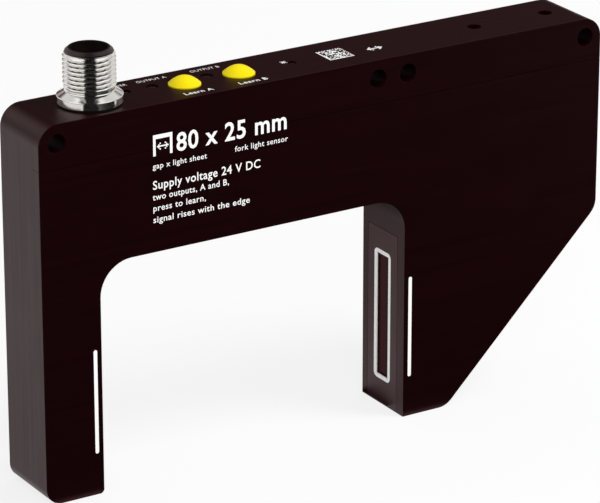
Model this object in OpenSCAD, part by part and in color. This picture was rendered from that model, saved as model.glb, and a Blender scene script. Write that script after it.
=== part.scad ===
// Fork sensor: a sheet of light crosses the gap between two legs and falls on a row of light cells.
// X runs along the bridge, Y from the front face to the back face, and Z up.
// The origin lies under the middle of the housing, level with the ends of the legs.

/* [Fork] */
// Clear width between the two legs
fork_gap = 80; // [60:1:120]
// Depth of the gap, from the ends of the legs to the bridge
fork_depth = 55; // [52:1:90]
// Radius of the two inner corners of the gap
arch_r = 8; // [6:0.5:12]
// Height of the middle of the light sheet above the ends of the legs
beam_z = 22.5; // [21:0.5:24]
// Height of the light sheet
beam_range = 25; // [20:1:27]

/* [Housing] */
// Height of the bridge above the gap
bridge_h = 34.5; // [33:0.5:45]
// Width of the narrow leg that receives the light
receiver_leg = 14.6; // [14:0.2:20]
// Width of the leg that sends the light, at the bridge
emitter_leg = 54.2; // [52:0.2:70]
// Thickness from the front face to the back face
body_t = 17.7; // [17:0.1:24]
// Thickness of the walls and of the back
wall = 2.2; // [1.8:0.1:2.6]
// Height of the sloped outer side of the emitter leg, which leans at 45 degrees
slope_h = 42; // [40:0.5:46]
// Radius of the two top corners
crown_r = 5; // [3:0.5:6]
// Radius of the receiver leg's outer bottom corner
toe_r = 4; // [1:0.5:5]
// Radius of the receiver leg's inner bottom corner
tip_r = 1; // [0.5:0.1:2]
// Radius of the corners at both ends of the slope
slope_r = 5; // [2:0.5:8]
// Thickness of the front cover
cover_t = 3; // [2:0.1:3.2]
// Height of the solid strip above the front cover
strip_h = 10.3; // [9:0.1:13]

/* [Mounting holes] */
// Diameter of the holes that run through the strip from front to back
through_d = 4.3; // [3.2:0.1:4.5]
// Distance of the outer through holes from the ends and from the top
through_inset = 4.5; // [4:0.1:5]
// Distance from the emitter end to the nearer of the two middle through holes
middle_inset = 53.8; // [50:0.1:60]
// Spacing of the two middle through holes
middle_pitch = 8; // [7:0.5:10]
// Core diameter of the two tapped holes in the top face
tapped_d = 3.3; // [2.5:0.1:4.2]
// Depth of the tapped holes
tapped_depth = 9; // [6:0.5:10]
// Distance from the emitter end to the nearer tapped hole
tapped_inset = 9.8; // [9:0.1:14]
// Spacing of the two tapped holes
tapped_pitch = 20; // [15:0.5:24]

/* [Controls] */
// Distance between neighbouring places in the row of lamps and buttons
control_pitch = 7; // [6.8:0.1:7.5]
// Distance from the receiver end to the first place in the row
control_inset = 27.6; // [27.4:0.1:30]
// Diameter of a button cap
cap_d = 7.4; // [6:0.1:8]
// Height of a cap's dome above its rim
dome_h = 1.6; // [1:0.1:2.2]
// How far a button travels when it is pressed
travel = 0.4; // [0.2:0.1:0.5]
// Diameter of a lamp's light guide
guide_d = 2.9; // [2:0.1:3.2]
// Diameter of the small light guide at the end of the row
small_guide_d = 1.9; // [1.5:0.1:2.4]
// Distance of the larger light guides behind the middle of the top face
guide_back = 2.2; // [1.5:0.1:2.8]

/* [Connector] */
// Distance of the plug connector's axis from the receiver end
connector_inset = 17.7; // [17:0.1:18.5]
// Outer diameter of the connector's thread
thread_d = 11.9; // [11.5:0.1:12.2]
// Height of the connector above the top face
connector_h = 12.8; // [12:0.1:14]
// Diameter of the flange under the thread
flange_d = 14.8; // [14:0.1:16]
// Number of contact pins on the circle round the middle pin
ring_pins = 7; // [4:1:7]

/* [Windows] */
// Width of a light slot, front to back
slot_w = 4.9; // [3:0.1:5.2]
// Height of a light slot beyond the light sheet, above and below together
slot_extra = 5.6; // [3:0.1:6]
// Width of the white line round a slot
frame_w = 1; // [0.6:0.1:1.4]
// Width of the white bars on the front that mark the light sheet
bar_w = 0.9; // [0.6:0.1:1.4]
// Distance of the white bars from the edges of the gap
bar_inset = 1.65; // [1.2:0.05:2.4]

/* [Hidden] */
$fn = 64;

// Clearances: between fixed pieces, round pins in their holes, and round pieces that slide
fit_gap = 0.1;
pin_gap = 0.05;
run_gap = 0.2;
// Overshoot of cutting shapes, and of the arcs that round a corner, so that they cross what they cut
spill = 1;
arc_spill = 0.002;

// Overall sizes and the main planes
gap_right = receiver_leg + fork_gap;
body_len = gap_right + emitter_leg;
body_h = fork_depth + bridge_h;
slope_x = body_len - slope_h;
front_y = -body_t / 2;
back_y = body_t / 2;
seat_y = front_y + cover_t;
floor_y = back_y - wall;
pocket_d = floor_y - seat_y;
middle_y = (seat_y + floor_y) / 2;
seam_z = body_h - strip_h;
ceiling_z = seam_z - wall;
function from_left(d) = d - body_len / 2;
function from_right(d) = body_len / 2 - d;
fork_mid = from_left(receiver_leg + fork_gap / 2);

// Sealing bead under the cover
bead_w = 0.8;
bead_d = 0.5;

// White marks, filled level with the surface
mark_d = 0.3;
frame_r = 1.3;

// Bezels: a face plate in the leg's inner wall, and a flange behind it
bezel_drop = 2.8;
bezel_top = fork_depth - arch_r - bezel_drop;
bezel_flange = 1.4;
bezel_hook = 2;
bezel_t = wall + fit_gap + bezel_flange;
slot_h = beam_range + slot_extra;
pane_depth = 0.6;
pane_t = 1.2;
pane_lap = 1;

// Connector, with heights above the top face
gasket_t = 0.35;
gasket_d = 13.8;
band_in = 0.25;
band_h = 1.55;
rim_h = 0.15;
flare_h = 1.15;
undercut_d = 11;
undercut_h = 0.3;
end_chamfer = 0.6;
insert_lip = 0.9;
insert_bevel = 0.7;
insert_side = 0.3;
shank_d = 11;
shank_l = 9;
insert_d = 9.5;
cavity_d = 8.4;
cavity_l = 9.3;
pin_d = 0.8;
pin_circle_d = 5.5;
pin_below_rim = 2.5;
key_w = 1;
key_in = 0.7;
connector_x = from_left(connector_inset);

// Buttons, their switches and the board under them
cap_skirt = 2.3;
cap_rim = 0.3;
cap_room = 0.7;
stem_d = 3.6;
o_ring_d = 1.2;
o_ring_drop = 8;
switch_w = 6;
switch_h = 3.5;
plunger_d = 3.4;
plunger_h = 1;
plunger_in = 0.8;
board_t = 1.6;
board_edge = 0.8;
board_z = ceiling_z - switch_h - plunger_h;
control_row = ["power", "lamp a", "button a", "lamp b", "button b", "screw", "beam", "header", "board end"];
buttons = ["button a", "button b"];
lamps = ["power", "lamp a", "lamp b", "beam"];
function control_d(what) = control_inset + search([what], control_row)[0] * control_pitch;
function control_x(what) = from_left(control_d(what));
board_x = [wall + board_edge, control_d("board end")];
guide_sink = 0.2;
guide_dome = 0.3;
lamp_w = 2.8;
lamp_h = 1.9;
lamp_gap = 0.4;
boss_d = 5;
boss_inset = 7.5;
boss_places = [boss_inset, control_d("screw")];

// Screws that hold the boards
screw_d = 2;
screw_l = 4;
screw_head_d = 3.8;
screw_head_h = 1.3;
screw_drive = 0.6;

// Main board in the bridge, against the back
standoff = 1.2;
main_inset = 17;
main_over = 7.4;
main_gap = 0.5;
main_x = [main_inset, gap_right + main_over];
main_z = [fork_depth + wall + main_gap, board_z - board_t - main_gap];
main_back_y = floor_y - standoff;
main_front_y = main_back_y - board_t;
main_screw_inset = 12;
main_screw_x = [main_x[0] + main_screw_inset, main_x[1] - main_screw_inset];
main_mid_z = (main_z[0] + main_z[1]) / 2;
header_count = 6;
header_pitch = 2;
header_w = header_count * header_pitch;
header_h = 2;
header_pin = 0.5;
header_tail = 0.8;
header_x = control_x("header");
chip_w = 9;
chip_h = 1.4;
driver_w = 5;
driver_pitch = 8;

// Receiver leg: a board on edge, with the row of light cells on it
receiver_gap = 2;
receiver_drop = 4;
receiver_board_x = wall + receiver_gap;
receiver_board_z = [wall + board_edge, main_z[1] - receiver_drop];
sensor_extra = 13;
sensor_l = beam_range + sensor_extra;
sensor_w = 8.4;
sensor_t = 2.4;
sensor_legs = 11;
leg_w = 0.5;
leg_l = 0.8;
glass_extra = 6;
glass_l = beam_range + glass_extra;
glass_w = 4;
glass_t = 0.7;
rib_w = 1;
rib_h = 0.8;
flex_t = 0.3;
flex_h = 7;
flex_lap = 7;

// Emitter leg: the light comes down through a lens and a mirror on the slope turns it to the slot
mirror_t = 2;
mirror_w = 10;
mirror_out = wall + pin_gap + mirror_t;
slant = 1 / cos(45);
emitter_x = from_left(slope_x + beam_z - mirror_out * slant);
mirror_extra = 4;
mirror_l = (beam_range + mirror_extra) * slant;
lens_extra = 3;
lens_w = beam_range + lens_extra;
lens_r = 19;
lens_edge = 2.5;
lens_sag = lens_r - sqrt(lens_r * lens_r - lens_w * lens_w / 4);
lens_lift = 5;
lens_z = beam_z + beam_range / 2 + lens_lift;
lens_wall = 1.2;
lens_lip = 0.8;
lens_frame_h = 3.6;
lens_d = pocket_d - 2 * (fit_gap + lens_wall + pin_gap);
diode_d = 5.6;
diode_base = 1.2;
can_d = 3.6;
can_h = 2.3;
lead_d = 0.45;
lead_circle_d = 2;
lead_count = 3;
lead_tail = 0.8;
laser_board_t = 1;
holder_w = 16;
holder_h = 10;
holder_drop = 3;
holder_top = ceiling_z - holder_drop;
exit_d = 6;
holder_screw_d = 2.4;
holder_head_d = 4.2;
holder_rim = 0.1;
holder_screw_x = holder_w / 2 - holder_head_d / 2 - holder_rim;
holder_head_h = 1.6;
holder_screw_end = 0.7;
laser_board_tail = 8;
laser_board_l = holder_w / 2 + laser_board_tail;

// Colours
black_metal = [0.10, 0.085, 0.08];
black_plastic = [0.06, 0.06, 0.065];
grey_plastic = [0.20, 0.19, 0.19];
rubber = [0.04, 0.04, 0.04];
white_paint = [0.95, 0.95, 0.93];
dark_red = [0.18, 0.02, 0.03];
nickel = [0.80, 0.78, 0.74];
gold = [0.85, 0.66, 0.28];
yellow = [0.94, 0.86, 0.10];
clear = [0.80, 0.85, 0.85];
board_green = [0.08, 0.32, 0.16];
steel = [0.70, 0.70, 0.72];
amber = [0.70, 0.45, 0.15];

// Outline of the housing seen from the front, as a loop of corners with radii

function corners(top_z, top_r) = [
    [from_left(0), 0, toe_r],
    [from_left(receiver_leg), 0, tip_r],
    [from_left(receiver_leg), fork_depth, arch_r],
    [from_left(gap_right), fork_depth, arch_r],
    [from_left(gap_right), 0, 0],
    [from_left(slope_x), 0, slope_r],
    [from_right(0), slope_h, slope_r],
    [from_right(0), top_z, top_r],
    [from_left(0), top_z, top_r]
];

function unit(v) = v / norm(v);
function place(c) = [c[0], c[1]];
function arriving(loop, i) = unit(place(loop[i]) - place(loop[(i + len(loop) - 1) % len(loop)]));
function leaving(loop, i) = unit(place(loop[(i + 1) % len(loop)]) - place(loop[i]));
function inward(v) = [-v[1], v[0]];
function is_outer(loop, i) = cross(arriving(loop, i), leaving(loop, i)) > 0;

// One corner moved inwards by d, with its radius changed to stay parallel
function inset_corner(loop, i, d) =
    let (
        a = inward(arriving(loop, i)),
        b = inward(leaving(loop, i)),
        p = place(loop[i]) + d * (a + b) / (1 + a * b),
        r = is_outer(loop, i) ? max(loop[i][2] - d, 0) : loop[i][2] + d
    )
    [p[0], p[1], r];

// The sliver between a sharp corner and the arc that rounds it
module corner_web(loop, i) {
    a = arriving(loop, i);
    b = leaving(loop, i);
    half_angle = acos(-a * b) / 2;
    middle = unit(b - a);
    r = loop[i][2];
    reach = r / tan(half_angle);
    centre = place(loop[i]) + middle * r / sin(half_angle);
    difference() {
        polygon([
            place(loop[i]) - middle * spill,
            place(loop[i]) - a * reach,
            centre,
            place(loop[i]) + b * reach
        ]);
        translate(centre)
            circle(r + arc_spill);
    }
}

module outline(top_z, top_r, inset) {
    sharp = corners(top_z, top_r);
    loop = [for (i = [0:len(sharp) - 1]) inset_corner(sharp, i, inset)];
    difference() {
        union() {
            polygon([for (c = loop) place(c)]);
            for (i = [0:len(loop) - 1])
                if (!is_outer(loop, i) && loop[i][2] > 0)
                    corner_web(loop, i);
        }
        for (i = [0:len(loop) - 1])
            if (is_outer(loop, i) && loop[i][2] > 0)
                corner_web(loop, i);
    }
}

// A flat shape in X and Z, made thick from one Y to another
module slab(from_y, to_y) {
    translate([0, to_y, 0])
        rotate([90, 0, 0])
            linear_extrude(to_y - from_y)
                children();
}

// A flat shape in Y and Z, made thick from one X to another
module plate(from_x, to_x) {
    translate([from_x, 0, 0])
        rotate([90, 0, 90])
            linear_extrude(to_x - from_x)
                children();
}

module box(low, high) {
    translate(low)
        cube(high - low);
}

module bore_y(x, z, d, from_y, to_y) {
    translate([x, to_y, z])
        rotate([90, 0, 0])
            cylinder(d = d, h = to_y - from_y);
}

module rounded_rectangle(w, h, r) {
    square([w, h - 2 * r], center = true);
    square([w - 2 * r, h], center = true);
    for (x = [-1, 1], y = [-1, 1])
        translate([x * (w / 2 - r), y * (h / 2 - r)])
            circle(r);
}

module rounded_bar(w, h) {
    square([w, h - w], center = true);
    for (y = [-1, 1])
        translate([0, y * (h - w) / 2])
            circle(d = w);
}

module at_control(what, y) {
    translate([control_x(what), y, 0])
        children();
}

// The receiver leg's window pieces mirror those of the emitter leg
module on_receiver_leg() {
    translate([2 * fork_mid, 0, 0])
        mirror([1, 0, 0])
            children();
}

// Housing: one milled block with a pocket that opens to the front

module bead(slack) {
    edge = (wall - bead_w) / 2 + slack;
    slab(seat_y, seat_y + bead_d)
        difference() {
            outline(seam_z, 0, edge);
            outline(seam_z, 0, wall - edge);
        }
}

module bezel_cutout() {
    face_x = from_left(gap_right);
    box([face_x - spill, seat_y - spill, wall],
        [face_x + wall + spill, floor_y, bezel_top]);
    box([face_x - spill, seat_y - spill, -spill],
        [face_x + wall + fit_gap, floor_y, wall + spill]);
}

module through_holes() {
    xs = [from_left(through_inset), from_right(through_inset),
          from_right(middle_inset), from_right(middle_inset + middle_pitch)];
    for (x = xs)
        bore_y(x, body_h - through_inset, through_d, front_y - spill, back_y + spill);
}

module tapped_holes() {
    for (d = [tapped_inset, tapped_inset + tapped_pitch])
        translate([from_right(d), 0, body_h - tapped_depth])
            cylinder(d = tapped_d, h = tapped_depth + spill);
}

module connector_bore() {
    translate([connector_x, 0, ceiling_z - spill])
        cylinder(d = shank_d + 2 * pin_gap, h = strip_h + wall + 2 * spill);
}

module button_bore(button) {
    at_control(button, 0) {
        translate([0, 0, ceiling_z - spill])
            cylinder(d = stem_d + 2 * run_gap, h = strip_h + wall + 2 * spill);
        translate([0, 0, body_h + cap_rim - cap_skirt - cap_room])
            cylinder(d = cap_d + 2 * run_gap, h = cap_skirt + cap_room + spill);
        translate([0, 0, body_h - o_ring_drop - (o_ring_d + 2 * pin_gap) / 2])
            cylinder(d = stem_d + 2 * o_ring_d + 4 * pin_gap, h = o_ring_d + 2 * pin_gap);
    }
}

function is_small(lamp) = lamp == "beam";
function guide_size(lamp) = is_small(lamp) ? small_guide_d : guide_d;
function guide_y(lamp) = is_small(lamp) ? 0 : guide_back;

module guide_bore(lamp) {
    at_control(lamp, guide_y(lamp))
        translate([0, 0, ceiling_z - spill])
            cylinder(d = guide_size(lamp) + 2 * pin_gap, h = strip_h + wall + 2 * spill);
}

module operator_bosses() {
    for (d = boss_places)
        translate([from_left(d), middle_y, board_z])
            cylinder(d = boss_d, h = ceiling_z - board_z + spill);
}

module operator_screw_holes(d) {
    for (p = boss_places)
        translate([from_left(p), middle_y, board_z - board_t - spill])
            cylinder(d = d, h = board_t + screw_l + spill);
}

module main_bosses() {
    for (p = main_screw_x)
        bore_y(from_left(p), main_mid_z, boss_d, main_back_y, floor_y + spill);
}

module main_screw_holes(d) {
    for (p = main_screw_x)
        bore_y(from_left(p), main_mid_z, d, main_front_y - spill, main_front_y + screw_l - fit_gap);
}

// Ribs on the back that locate the receiver board and the lens frame
module card_ribs() {
    for (x = [receiver_board_x - fit_gap - rib_w, receiver_board_x + board_t + fit_gap])
        box([from_left(x), floor_y - rib_h, receiver_board_z[0]],
            [from_left(x) + rib_w, floor_y + spill, receiver_board_z[1]]);
    for (z = [lens_z - lens_lip - fit_gap - rib_w, lens_z - lens_lip + lens_frame_h + fit_gap])
        box([emitter_x - lens_w / 2, floor_y - rib_h, z],
            [emitter_x + lens_w / 4, floor_y + spill, z + rib_w]);
}

module holder_screw_holes(d) {
    for (side = [-1, 1])
        bore_y(emitter_x + side * holder_screw_x, holder_top - holder_h / 2, d,
               seat_y, back_y - holder_screw_end);
}

module housing() {
    color(black_metal)
        difference() {
            union() {
                difference() {
                    slab(front_y, back_y)
                        outline(body_h, crown_r, 0);
                    box([from_left(0) - spill, front_y - spill, -spill],
                        [from_right(0) + spill, seat_y, seam_z]);
                    slab(seat_y - spill, floor_y)
                        outline(seam_z, 0, wall);
                }
                operator_bosses();
                main_bosses();
                card_ribs();
            }
            bead(0);
            bezel_cutout();
            on_receiver_leg()
                bezel_cutout();
            through_holes();
            tapped_holes();
            connector_bore();
            for (button = buttons)
                button_bore(button);
            for (lamp = lamps)
                guide_bore(lamp);
            operator_screw_holes(screw_d + 2 * pin_gap);
            main_screw_holes(screw_d + 2 * pin_gap);
            holder_screw_holes(holder_screw_d + 2 * pin_gap);
        }
}

// Cover: closes the pocket and is bonded on the sealing bead

module bar_marks(from_y) {
    for (x = [from_left(receiver_leg - bar_inset), from_left(gap_right + bar_inset)])
        slab(from_y, front_y + mark_d)
            translate([x, beam_z])
                rounded_bar(bar_w, beam_range);
}

module front_cover() {
    color(black_metal)
        difference() {
            slab(front_y, seat_y)
                outline(seam_z - fit_gap, 0, 0);
            bar_marks(front_y - spill);
        }
}

module beam_bars() {
    color(white_paint)
        bar_marks(front_y);
}

module cover_seal() {
    color(rubber)
        bead(pin_gap);
}

// Windows in the inner faces of the legs

module slot_frame(from_x, to_x) {
    plate(from_x, to_x)
        translate([middle_y, beam_z])
            rounded_rectangle(slot_w + 2 * frame_w, slot_h + 2 * frame_w, frame_r);
}

module slot(from_x, to_x, lap) {
    box([from_x, middle_y - slot_w / 2 - lap, beam_z - slot_h / 2 - lap],
        [to_x, middle_y + slot_w / 2 + lap, beam_z + slot_h / 2 + lap]);
}

module bezel() {
    face_x = from_left(gap_right);
    difference() {
        union() {
            box([face_x, seat_y + fit_gap, 0],
                [face_x + wall, floor_y - fit_gap, bezel_top - fit_gap]);
            box([face_x + wall / 2, seat_y + fit_gap, wall + fit_gap],
                [face_x + bezel_t, floor_y - fit_gap, bezel_top - fit_gap]);
            box([face_x + wall + fit_gap, seat_y + fit_gap, wall + fit_gap],
                [face_x + bezel_t, floor_y - fit_gap, bezel_top + bezel_hook]);
        }
        slot(face_x - spill, face_x + bezel_t + spill, 0);
        slot(face_x + pane_depth, face_x + bezel_t + spill, pane_lap);
        slot_frame(face_x - spill, face_x + mark_d);
    }
}

module window_pane() {
    face_x = from_left(gap_right);
    slot(face_x + pane_depth, face_x + pane_depth + pane_t, pane_lap - pin_gap);
}

module frame_mark() {
    face_x = from_left(gap_right);
    difference() {
        slot_frame(face_x, face_x + mark_d);
        slot(face_x - spill, face_x + mark_d + spill, 0);
    }
}

module emitter_bezel() {
    color(grey_plastic)
        difference() {
            bezel();
            bead(0);
        }
}

module emitter_window() {
    color(dark_red)
        window_pane();
}

module emitter_frame() {
    color(white_paint)
        frame_mark();
}

module receiver_bezel() {
    color(grey_plastic)
        difference() {
            intersection() {
                on_receiver_leg()
                    bezel();
                slab(seat_y, floor_y)
                    outline(body_h, crown_r, 0);
            }
            bead(0);
        }
}

module receiver_window() {
    color(dark_red)
        on_receiver_leg()
            window_pane();
}

module receiver_frame() {
    color(white_paint)
        on_receiver_leg()
            frame_mark();
}

// Plug connector: a turned shell, a moulded insert and its contact pins

module on_connector() {
    translate([connector_x, 0, body_h])
        children();
}

module connector_shell() {
    shell_top = connector_h - insert_lip;
    rim_r = flange_d / 2;
    band_top = gasket_t + band_h;
    rim_top = band_top + rim_h;
    flare_top = rim_top + flare_h;
    thread_r = thread_d / 2;
    color(nickel)
        on_connector()
            rotate_extrude()
                polygon([
                    [insert_d / 2 + pin_gap, -shank_l],
                    [shank_d / 2, -shank_l],
                    [shank_d / 2, gasket_t],
                    [rim_r - band_in, gasket_t],
                    [rim_r - band_in, band_top],
                    [rim_r, band_top],
                    [rim_r, rim_top],
                    [undercut_d / 2, flare_top],
                    [undercut_d / 2, flare_top + undercut_h],
                    [thread_r, flare_top + undercut_h + thread_r - undercut_d / 2],
                    [thread_r, shell_top - end_chamfer],
                    [thread_r - end_chamfer, shell_top],
                    [insert_d / 2 + pin_gap, shell_top]
                ]);
}

module pin_places() {
    children();
    for (i = [0:ring_pins - 1])
        rotate([0, 0, (i + 0.5) * 360 / (ring_pins + 1)])
            translate([pin_circle_d / 2, 0, 0])
                children();
}

module connector_insert() {
    lip_r = thread_d / 2 - end_chamfer;
    color(black_plastic)
        on_connector()
            difference() {
                rotate_extrude()
                    polygon([
                        [0, -shank_l],
                        [insert_d / 2, -shank_l],
                        [insert_d / 2, connector_h - insert_lip],
                        [lip_r, connector_h - insert_lip],
                        [lip_r, connector_h - insert_lip + insert_side],
                        [lip_r - insert_bevel, connector_h],
                        [cavity_d / 2, connector_h],
                        [cavity_d / 2, connector_h - cavity_l],
                        [0, connector_h - cavity_l]
                    ]);
                pin_places()
                    translate([0, 0, -shank_l - spill])
                        cylinder(d = pin_d + 2 * pin_gap, h = shank_l + connector_h);
            }
    color(black_plastic)
        on_connector()
            rotate([0, 0, -180 / (ring_pins + 1)])
                intersection() {
                    box([cavity_d / 2 - key_in, -key_w / 2, connector_h - cavity_l - spill],
                        [cavity_d, key_w / 2, connector_h - insert_lip]);
                    cylinder(d = (cavity_d + insert_d) / 2, h = connector_h);
                }
}

module connector_pins() {
    pin_top = connector_h - pin_below_rim - pin_d / 2;
    pin_bottom = board_z - board_t - board_edge - body_h;
    color(gold)
        on_connector()
            pin_places() {
                translate([0, 0, pin_bottom])
                    cylinder(d = pin_d, h = pin_top - pin_bottom);
                translate([0, 0, pin_top])
                    sphere(d = pin_d);
            }
}

module connector_gasket() {
    color(rubber)
        on_connector()
            difference() {
                cylinder(d = gasket_d, h = gasket_t);
                translate([0, 0, -spill])
                    cylinder(d = shank_d + 2 * pin_gap, h = gasket_t + 2 * spill);
            }
}

// Push buttons: a domed cap on a stem, sealed in its bore, over a small switch

module button_cap(button) {
    rim_z = body_h + cap_rim;
    dome_r = (cap_d * cap_d / 4 + dome_h * dome_h) / (2 * dome_h);
    color(yellow)
        at_control(button, 0) {
            translate([0, 0, ceiling_z])
                cylinder(d = stem_d, h = rim_z - cap_skirt / 2 - ceiling_z);
            translate([0, 0, rim_z - cap_skirt])
                cylinder(d = cap_d, h = cap_skirt);
            intersection() {
                translate([0, 0, rim_z + dome_h - dome_r])
                    sphere(r = dome_r, $fn = 96);
                translate([0, 0, rim_z - cap_skirt / 2])
                    cylinder(d = cap_d, h = cap_skirt + dome_h);
            }
        }
}

module button_cap_a() {
    button_cap("button a");
}

module button_cap_b() {
    button_cap("button b");
}

module button_seals() {
    color(rubber)
        for (button = buttons)
            at_control(button, 0)
                translate([0, 0, body_h - o_ring_drop])
                    rotate_extrude()
                        translate([stem_d / 2 + pin_gap + o_ring_d / 2, 0])
                            circle(d = o_ring_d, $fn = 24);
}

module switch_body(button) {
    color(black_plastic)
        at_control(button, 0)
            difference() {
                box([-switch_w / 2, -switch_w / 2, board_z],
                    [switch_w / 2, switch_w / 2, board_z + switch_h]);
                translate([0, 0, board_z + switch_h - plunger_in - travel - fit_gap])
                    cylinder(d = plunger_d + 2 * pin_gap, h = switch_h);
            }
}

module switch_body_a() {
    switch_body("button a");
}

module switch_body_b() {
    switch_body("button b");
}

module switch_plunger(button) {
    color(grey_plastic)
        at_control(button, 0)
            translate([0, 0, board_z + switch_h - plunger_in])
                cylinder(d = plunger_d, h = plunger_in + plunger_h);
}

module switch_plunger_a() {
    switch_plunger("button a");
}

module switch_plunger_b() {
    switch_plunger("button b");
}

// Signal lamps on the board, each under a clear light guide

module light_guide(lamp) {
    d = guide_size(lamp);
    bottom = board_z + lamp_h + lamp_gap;
    shoulder = body_h - guide_sink - guide_dome;
    dome_r = (d * d / 4 + guide_dome * guide_dome) / (2 * guide_dome);
    color(clear)
        at_control(lamp, guide_y(lamp))
            intersection() {
                translate([0, 0, bottom])
                    cylinder(d = d, h = shoulder + guide_dome - bottom);
                translate([0, 0, shoulder + guide_dome - dome_r])
                    union() {
                        sphere(r = dome_r, $fn = 96);
                        translate([0, 0, -body_h])
                            cylinder(r = dome_r, h = body_h);
                    }
            }
}

module light_guide_power() {
    light_guide("power");
}

module light_guide_a() {
    light_guide("lamp a");
}

module light_guide_b() {
    light_guide("lamp b");
}

module light_guide_beam() {
    light_guide("beam");
}

module indicator_lamps() {
    color(white_paint)
        for (lamp = lamps)
            at_control(lamp, guide_y(lamp))
                box([-lamp_w / 2, -lamp_w / 2, board_z],
                    [lamp_w / 2, lamp_w / 2, board_z + lamp_h]);
}

// Circuit boards in the bridge

module operator_board() {
    color(board_green)
        difference() {
            box([from_left(board_x[0]), seat_y + board_edge, board_z - board_t],
                [from_left(board_x[1]), floor_y - board_edge, board_z]);
            operator_screw_holes(screw_d + 2 * pin_gap);
            header_pins(pin_gap);
            on_connector()
                pin_places()
                    translate([0, 0, board_z - board_t - spill - body_h])
                        cylinder(d = pin_d + 2 * pin_gap, h = board_t + 2 * spill);
        }
}

module main_board() {
    color(board_green)
        difference() {
            box([from_left(main_x[0]), main_front_y, main_z[0]],
                [from_left(main_x[1]), main_back_y, main_z[1]]);
            main_screw_holes(screw_d + 2 * pin_gap);
            header_pins(pin_gap);
        }
}

// A row of pins that joins the two boards at a right angle
module header_pins(slack) {
    pin_y = main_front_y - header_h / 2;
    pin_z = main_z[1] - header_h / 2;
    half = header_pin / 2 + slack;
    for (i = [0:header_count - 1])
        translate([header_x + (i - (header_count - 1) / 2) * header_pitch, 0, 0]) {
            box([-half, pin_y - half, pin_z - half],
                [half, pin_y + half, board_z + header_tail]);
            box([-half, pin_y - half, pin_z - half],
                [half, main_back_y + header_tail, pin_z + half]);
        }
}

module board_header() {
    base_z = board_z - board_t;
    color(black_plastic)
        box([header_x - header_w / 2, main_front_y - header_h, base_z - header_h],
            [header_x + header_w / 2, main_front_y, base_z]);
    color(gold)
        header_pins(0);
}

module on_main_board(x, w, h, t) {
    box([x - w / 2, main_front_y - t, main_mid_z - h / 2],
        [x + w / 2, main_front_y, main_mid_z + h / 2]);
}

module controller_chip() {
    color(black_plastic)
        on_main_board(fork_mid, chip_w, chip_w, chip_h);
}

module output_drivers() {
    color(black_plastic)
        for (side = [-1, 1])
            on_main_board(fork_mid + side * (chip_w + driver_pitch), driver_w, driver_w, chip_h);
}

// Receiver leg

module receiver_board() {
    color(board_green)
        box([from_left(receiver_board_x), seat_y + fit_gap, receiver_board_z[0]],
            [from_left(receiver_board_x) + board_t, floor_y - fit_gap, receiver_board_z[1]]);
}

module sensor_recess(to_x, slack) {
    base_x = from_left(receiver_board_x) + board_t;
    box([base_x + sensor_t - glass_t, middle_y - glass_w / 2 + slack, beam_z - glass_l / 2 + slack],
        [to_x, middle_y + glass_w / 2 - slack, beam_z + glass_l / 2 - slack]);
}

module line_sensor() {
    base_x = from_left(receiver_board_x) + board_t;
    leg_pitch = sensor_l / sensor_legs;
    color(black_plastic) {
        difference() {
            box([base_x, middle_y - sensor_w / 2, beam_z - sensor_l / 2],
                [base_x + sensor_t, middle_y + sensor_w / 2, beam_z + sensor_l / 2]);
            sensor_recess(base_x + sensor_t + spill, 0);
        }
        for (i = [0:sensor_legs - 1], side = [-1, 1])
            translate([base_x, middle_y + side * sensor_w / 2, beam_z + (i + 0.5) * leg_pitch - sensor_l / 2])
                translate([0, -leg_l, -leg_w / 2])
                    cube([leg_w, 2 * leg_l, leg_w]);
    }
}

module sensor_glass() {
    color(clear)
        sensor_recess(from_left(receiver_board_x) + board_t + sensor_t, pin_gap);
}

module receiver_flex() {
    start_x = from_left(receiver_board_x) + board_t + fit_gap;
    color(amber)
        box([start_x, main_front_y - flex_t, receiver_board_z[1] - flex_h],
            [from_left(main_x[0] + flex_lap), main_front_y, receiver_board_z[1]]);
}

// Emitter leg

module leads(d, from_z, to_z) {
    for (i = [0:lead_count - 1])
        rotate([0, 0, i * 360 / lead_count])
            translate([lead_circle_d / 2, 0, from_z])
                cylinder(d = d, h = to_z - from_z, $fn = 16);
}

module laser_diode() {
    color(steel)
        translate([emitter_x, middle_y, holder_top]) {
            translate([0, 0, -diode_base])
                cylinder(d = diode_d, h = diode_base);
            translate([0, 0, -diode_base - can_h])
                cylinder(d = can_d, h = can_h + diode_base / 2);
            leads(lead_d, -diode_base / 2, laser_board_t + lead_tail);
        }
}

module laser_holder() {
    color(steel)
        difference() {
            box([emitter_x - holder_w / 2, seat_y + fit_gap, holder_top - holder_h],
                [emitter_x + holder_w / 2, floor_y - fit_gap, holder_top]);
            translate([emitter_x, middle_y, holder_top]) {
                translate([0, 0, -diode_base])
                    cylinder(d = diode_d + 2 * pin_gap, h = diode_base + spill);
                translate([0, 0, -holder_h])
                    cylinder(d = can_d + 2 * pin_gap, h = holder_h);
                translate([0, 0, -holder_h - spill])
                    cylinder(d = exit_d, h = holder_h - diode_base - can_h);
            }
            holder_screw_holes(holder_screw_d + 2 * pin_gap);
            for (side = [-1, 1])
                bore_y(emitter_x + side * holder_screw_x, holder_top - holder_h / 2, holder_head_d + 2 * pin_gap,
                       seat_y, seat_y + fit_gap + holder_head_h);
        }
}

module laser_board() {
    color(board_green)
        difference() {
            box([emitter_x - laser_board_l, seat_y + board_edge, holder_top],
                [emitter_x + holder_w / 2, floor_y - board_edge, holder_top + laser_board_t]);
            translate([emitter_x, middle_y, holder_top])
                leads(lead_d + 2 * pin_gap, -spill, laser_board_t + spill);
        }
}

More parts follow.
